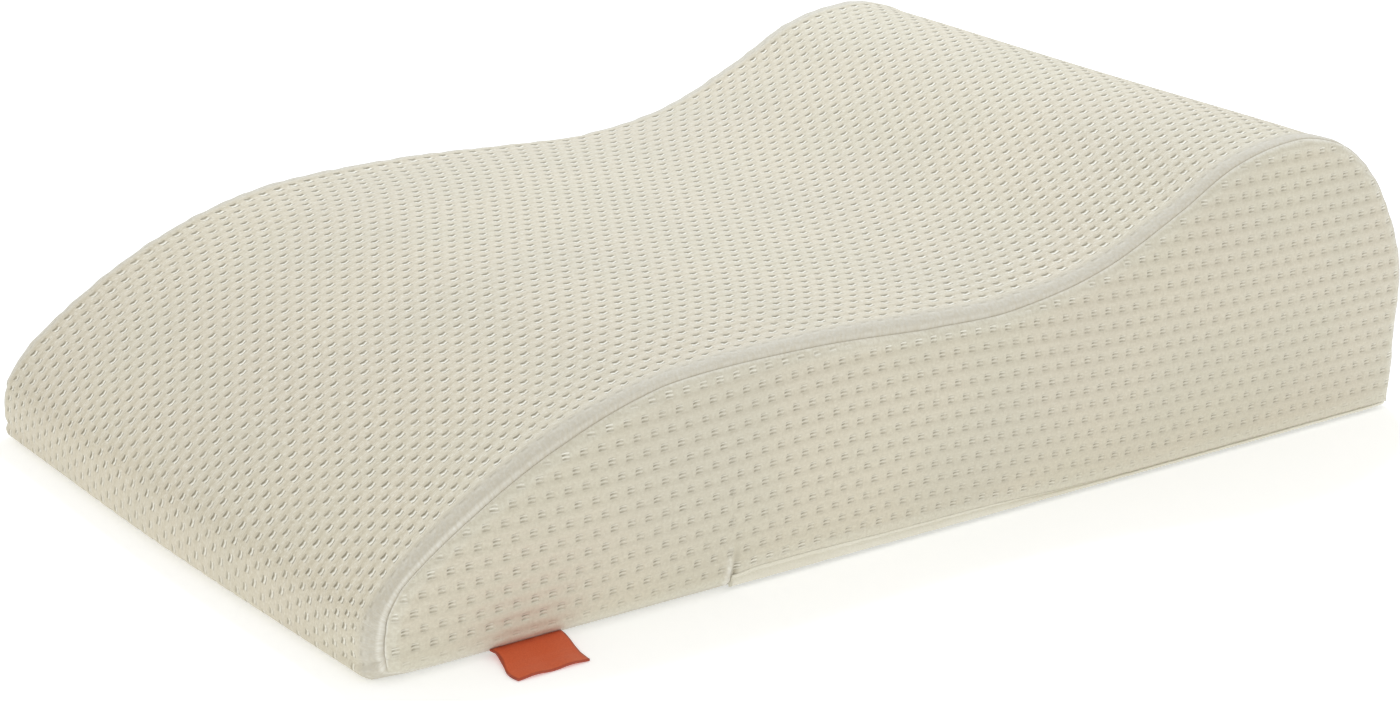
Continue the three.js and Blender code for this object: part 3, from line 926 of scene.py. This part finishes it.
# The tab's satin
SATIN_LIGHT = colour(219, 92, 38)
SATIN_DARK = colour(196, 70, 26)
SATIN_EDGE = colour(146, 50, 28)
SATIN_DARK_SHARE = 0.4
SATIN_EDGE_SHARE = 0.75
SATIN_NOISE = (1500, 3)
SATIN_ROUGHNESS = (0.2, 0.38)
SATIN_SHEEN = 0.1

# The marks in a dimple. length and width: half of the marked floor. spacing: between the light yarns that lie
# across it. floor and bars: how dark the floor and the lines between the yarns are, partly the knit's dark
# ground and partly painted shade in the hollow. light: how bright the yarns are, their own paleness with a
# painted highlight. shift: how far the middle yarn lies below the middle. lean: painted shade, how much
# darker
# the end towards the low end is. slope: painted shade, how much darker the upper or farther edge is. rows:
# painted shade, how dark the valley beside each row of dimples is. flecks: painted highlights, how bright the
# light flecks between the dimples are.
WRAP_MARKS = {
    "length": 1.7, "width": 1.8, "spacing": 2.9, "shift": 0.2, "floor": 0.2, "bars": 0.76, "light": 1.25,
    "lean_shade": 0.2, "slope_shade": 0.2, "rows": 0.16, "flecks": 0.42,
}
SIDE_MARKS = {
    "length": 1.6, "width": 1.7, "spacing": 1.7, "shift": 0.3, "floor": 0.2, "bars": 0.34, "light": 0.42,
    "lean_shade": 0.7, "slope_shade": 0.25, "rows": 0.03, "flecks": 0.12,
}


def knit_places(graph, pitch, row):
    """Where on the knit a point lies: its nearest dimple, its distances from that dimple's middle and over
    the cloth in millimetres, its angle within a row, and its place on the object."""
    slanted = graph.split(graph.add("ShaderNodeUVMap", uv_map="lattice").outputs[0])[:2]
    cells = [graph.math("ROUND", value) for value in slanted]
    rests = [graph.math("SUBTRACT", value, cell) for value, cell in zip(slanted, cells)]
    return {
        "cell": graph.join(*cells),
        "along": graph.product(graph.math("ADD", *rests), pitch / 2),
        "across": graph.product(graph.math("SUBTRACT", *rests), row),
        "along_cloth": graph.product(graph.math("ADD", *slanted), pitch / 2),
        "across_cloth": graph.product(graph.math("SUBTRACT", *slanted), row),
        "turn": graph.product(graph.math("SUBTRACT", *slanted), TURN),
        "object": graph.place(),
    }


def cloth_noise(graph, places, scales, settings):
    """A noise that is stretched along or across the cloth."""
    along = graph.product(places["along_cloth"], scales[0])
    across = graph.product(places["across_cloth"], scales[1])
    return graph.noise(graph.join(along, across), *settings)


def dimple_floor(graph, places, marks):
    """1 on a dimple's marked floor and 0 outside it."""
    past_length = graph.past(places["along"], marks["length"])
    past_width = graph.past(places["across"], marks["width"])
    squares = graph.math("ADD", graph.math("POWER", past_length, 2.0), graph.math("POWER", past_width, 2.0))
    floor = graph.ramp(graph.math("SQRT", squares), 0.0, MARK_SOFTNESS, 1.0, 0.0)
    return graph.product(floor, graph.mask("relief"))


def dimple_yarn(graph, places, marks):
    """1 on the light yarns across a dimple and 0 midway between them."""
    shifted = graph.math("ADD", places["across"], marks["shift"])
    wave = graph.math("COSINE", graph.product(shifted, TURN / marks["spacing"]))
    return graph.math("MULTIPLY_ADD", wave, 0.5, 0.5)


def dimple_shares(graph, places, floor, yarn, marks):
    """How much of the dark tone and of the light yarn shows at each place in a dimple: the dark is partly the
    knit's ground and partly painted shade, darker towards the low end and the far edge, and the light is
    partly painted highlight.
    """
    chance = graph.add("ShaderNodeTexWhiteNoise", noise_dimensions="2D")
    graph.put(chance.inputs["Vector"], places["cell"])
    strength = graph.math("MULTIPLY_ADD", chance.outputs["Value"], 1 - LEAST_STRENGTH, LEAST_STRENGTH)
    length, width, lean_shade, slope_shade = (marks[name] for name in ("length", "width", "lean_shade", "slope_shade"))
    between = graph.math("POWER", graph.math("SUBTRACT", 1.0, yarn), LINE_SHARPNESS)
    dark = graph.math("MULTIPLY_ADD", between, marks["bars"], marks["floor"])
    # Painted shade: darker towards the low end and towards the upper or farther edge
    to_low_end = graph.ramp(places["along"], -length, length, 1 + lean_shade, 1 - lean_shade)
    to_far_edge = graph.ramp(places["across"], -width, width, 1 - slope_shade, 1 + slope_shade)
    dark = graph.product(dark, to_low_end, to_far_edge, strength, floor)
    # Painted highlight, stronger on the yarns of the side's first row beside the seam
    gain = graph.math("MULTIPLY_ADD", graph.mask("bright"), RIM_HIGHLIGHT_GAIN, 1.0)
    # The light yarns, partly painted highlight
    light = graph.math("POWER", yarn, LINE_SHARPNESS)
    light = graph.product(light, marks["light"], strength, floor, gain)
    return dark, graph.math("MINIMUM", light, 1.0)


def patched_tone(graph, places, tone):
    """The cloth's colour with its soft patches."""
    patches = graph.noise(places["object"], *PATCH_NOISE)
    patched = graph.blend(graph.ramp(patches, *PATCH_RANGE), tone, scaled(tone, PATCH_TINT))
    drift = graph.noise(places["object"], *DRIFT_NOISE)
    cooled = graph.blend(1.0, patched, COOL_TINT, "MULTIPLY")
    return graph.blend(graph.ramp(drift, *DRIFT_RANGE), patched, cooled)


def seamed_tone(graph, cloth, specks):
    """The cloth's colour with the strip of painted highlight and the band of painted grey shade beside a
    seam, the painted shade in the tack's crease and the thread with its painted highlight.
    """
    # Painted highlight on the strip beside a side panel's rim
    cloth = graph.blend(graph.product(graph.mask("bright"), STRIP_HIGHLIGHT_SHARE), cloth, STRIP_HIGHLIGHT_TONE)
    # Painted shade in the tack's groove
    cloth = graph.blend(graph.mask("crease"), cloth, CREASE_SHADE_TONE)
    speck_share = graph.ramp(specks, *PATCH_RANGE, SPECK_SHARE, 0.0)
    # The band's grey, painted shade on the rounded edge, with its specks
    grey = graph.blend(speck_share, BAND_SHADE_GREY, scaled(BAND_SHADE_GREY, RIB_AND_SHADE_TINT))
    cloth = graph.blend(graph.mask("band"), cloth, grey)
    # The pale thread, painted whiter as a highlight
    return graph.blend(graph.mask("thread"), cloth, THREAD_HIGHLIGHT_WHITE)


def ribbed_tone(graph, cloth, places, ribs, tone, marks):
    """The cloth's colour with its fine ribs, painted shade in the valleys beside the rows of dimples and
    light flecks with painted highlights.
    """
    relief = graph.mask("relief")
    dark = scaled(tone, RIB_AND_SHADE_TINT)
    cloth = graph.blend(graph.ramp(ribs, *RIB_RANGE, RIB_SHARE, 0.0), cloth, dark)
    # Painted shade on one side of the valley beside each row of dimples
    beside = graph.product(graph.math("SINE", places["turn"]), relief)
    cloth = graph.blend(graph.math("MULTIPLY_ADD", beside, marks["rows"], marks["rows"]), cloth, dark)
    # Light flecks between the dimples, painted highlights
    noise = cloth_noise(graph, places, FLECK_SCALES, FLECK_NOISE)
    flecks = graph.ramp(noise, *FLECK_RANGE, 0.0, marks["flecks"])
    return graph.blend(graph.product(flecks, relief), cloth, YARN_HIGHLIGHT)


def knit_height(graph, places, floor, yarn, ribs, specks):
    """The height of the yarns in the dimples, the ribs, the specks and the valleys between the rows."""
    valley = graph.product(graph.math("COSINE", places["turn"]), graph.mask("relief"))
    height = graph.product(floor, graph.math("MULTIPLY_ADD", yarn, YARN_HEIGHT, -YARN_HEIGHT))
    for part, amount in ((ribs, RIB_HEIGHT), (specks, SPECK_HEIGHT), (valley, -VALLEY_DEPTH)):
        height = graph.math("MULTIPLY_ADD", part, amount, height)
    return height


def knit_material(name, pitch, row, tone, marks):
    """Dimpled spacer knit: a dark floor with light yarns across it in each dimple, and fine ribs between,
    with painted shade in and beside the dimples and painted highlights on the yarns and flecks.
    """
    graph = Graph(name)
    places = knit_places(graph, pitch, row)
    floor = dimple_floor(graph, places, marks)
    yarn = dimple_yarn(graph, places, marks)
    dark, light = dimple_shares(graph, places, floor, yarn, marks)
    ribs = cloth_noise(graph, places, RIB_SCALES, RIB_NOISE)
    specks = graph.noise(places["object"], *SPECK_NOISE)
    cloth = seamed_tone(graph, patched_tone(graph, places, tone), specks)
    cloth = ribbed_tone(graph, cloth, places, ribs, tone, marks)
    # The dimples' painted shade and the yarns' painted highlights over the cloth
    marked = graph.blend(light, graph.blend(dark, cloth, PIT_SHADE_TONE), YARN_HIGHLIGHT)
    graph.bump(knit_height(graph, places, floor, yarn, ribs, specks), *KNIT_BUMP)
    graph.shade({"Base Color": marked, "Roughness": graph.math("MULTIPLY_ADD", ribs, *KNIT_ROUGHNESS)})
    graph.shade(KNIT_SHINE)
    return graph.material


def turned_material():
    """The smooth folded knit of the placket, in tones painted paler than the side's knit to make up for the
    shade on its downward-facing fold.
    """
    graph = Graph("turned_knit")
    place = graph.place()
    fibres = graph.noise(place, *TURNED_FIBRE_NOISE)
    patches = graph.noise(place, *TURNED_PATCH_NOISE)
    tone = graph.blend(graph.ramp(patches, *PATCH_RANGE), TURNED_LIGHT, TURNED_DARK)
    fibre_share = graph.ramp(fibres, *RIB_RANGE, 0.0, TURNED_FIBRE_SHARE)
    graph.bump(fibres, *TURNED_BUMP)
    graph.shade({
        "Base Color": graph.blend(fibre_share, tone, TURNED_FIBRE),
        "Roughness": graph.math("MULTIPLY_ADD", fibres, *TURNED_ROUGHNESS),
        "Sheen Weight": TURNED_SHEEN,
    })
    return graph.material


def satin_material():
    """Orange woven satin."""
    graph = Graph("satin")
    fibres = graph.noise(graph.place(), *SATIN_NOISE)
    dark_share = graph.ramp(fibres, *RIB_RANGE, 0.0, SATIN_DARK_SHARE)
    edge_share = graph.product(graph.mask("selvedge"), SATIN_EDGE_SHARE)
    woven = graph.blend(dark_share, SATIN_LIGHT, SATIN_DARK)
    graph.shade({
        "Base Color": graph.blend(edge_share, woven, SATIN_EDGE),
        "Roughness": graph.math("MULTIPLY_ADD", fibres, *SATIN_ROUGHNESS),
        "Sheen Weight": SATIN_SHEEN,
    })
    return graph.material


def camera_turn():
    """The camera's rotation, with its roll."""
    angles = (CAMERA_AZIMUTH, CAMERA_ELEVATION, CAMERA_ROLL)
    azimuth, elevation, roll = (math.radians(angle) for angle in angles)
    back = Vector((
        math.sin(azimuth) * math.cos(elevation),
        -math.cos(azimuth) * math.cos(elevation),
        math.sin(elevation),
    ))
    right = Vector((0, 0, 1)).cross(back).normalized()
    up = back.cross(right)
    turned_right = math.cos(roll) * right + math.sin(roll) * up
    turned_up = math.cos(roll) * up - math.sin(roll) * right
    return Matrix((turned_right, turned_up, back)).transposed().to_4x4()


def make_camera():
    """The photograph's camera."""
    data = bpy.data.cameras.new("camera")
    data.sensor_fit = "HORIZONTAL"
    data.sensor_width = SENSOR
    data.lens = FOCAL_PIXELS * SENSOR / IMAGE_WIDTH
    data.clip_start, data.clip_end = CAMERA_CLIP
    camera = add_object("camera", data)
    camera.matrix_world = Matrix.Translation(Vector(CAMERA_PLACE) * MM) @ camera_turn()
    bpy.context.scene.camera = camera


# The studio. The light's place and size are in metres.
SURROUND = (1.0, 0.98, 0.935, 1)
SURROUND_STRENGTH = 0.8
KEY_COLOUR = (0.72, 0.82, 1.0)
KEY_POWER = 24
KEY_PLACE = (0.8, 0.8, 2.0)
KEY_TARGET = (0, 0, 0.1)
KEY_SIZE = 0.5
FLOOR_HALF = 9000
FLOOR_LEVEL = -0.4
FLOOR_TONE = (0.92, 0.92, 0.92, 1)
FLOOR_ROUGHNESS = 0.9
FLOOR_GLOW = 0.34
FLOOR_GLOW_TONE = (0.92, 0.96, 1.0, 1)


def make_key_light():
    """The soft light from above."""
    data = bpy.data.lights.new("key", "AREA")
    data.color = KEY_COLOUR
    data.shape = "DISK"
    data.size = KEY_SIZE
    data.energy = KEY_POWER
    light = add_object("key", data)
    light.location = KEY_PLACE
    light.rotation_mode = "QUATERNION"
    light.rotation_quaternion = (Vector(KEY_TARGET) - Vector(KEY_PLACE)).to_track_quat("-Z", "Y")


def make_floor():
    """The pale floor, which glows faintly."""
    corners = [(x * FLOOR_HALF, y * FLOOR_HALF, FLOOR_LEVEL) for x, y in ((-1, -1), (1, -1), (1, 1), (-1, 1))]
    floor = make_mesh("floor", corners, [(0, 1, 2, 3)])
    graph = Graph("pale_floor")
    graph.shade({
        "Base Color": FLOOR_TONE,
        "Roughness": FLOOR_ROUGHNESS,
        "Emission Color": FLOOR_GLOW_TONE,
        "Emission Strength": FLOOR_GLOW,
    })
    floor.data.materials.append(graph.material)


def make_surround():
    """The even light from all round."""
    world = bpy.data.worlds.new("surround")
    world.use_nodes = True
    background = world.node_tree.nodes["Background"]
    background.inputs["Color"].default_value = SURROUND
    background.inputs["Strength"].default_value = SURROUND_STRENGTH
    bpy.context.scene.world = world
    bpy.context.scene.view_settings.view_transform = "Standard"


def dress():
    """Makes every piece, gives it its material, hangs it on the body and hides the model's part that it
    stands for.
    """
    wrap_knit = knit_material("knit", WRAP_PITCH, WRAP_ROW, CREAM, WRAP_MARKS)
    side_knit = knit_material("side_knit", SIDE_PITCH, SIDE_ROW, SIDE_CREAM, SIDE_MARKS)
    pieces = (
        (make_cushion(), "cushion", "knit", wrap_knit),
        (make_side_panel("side_knit_near", -1, True), "side_panel_near", "side_knit", side_knit),
        (make_side_panel("side_knit_far", 1, False), "side_panel_far", "side_knit", side_knit),
        (make_placket(), "zip_placket", "turned_knit", turned_material()),
        (make_label(), "label_tab", "satin", satin_material()),
    )
    for piece, node, slot, material in pieces:
        piece.data.materials.append(material)
        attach(piece, BODY)
        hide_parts(node)


make_camera()
make_surround()
make_floor()
make_key_light()
dress()
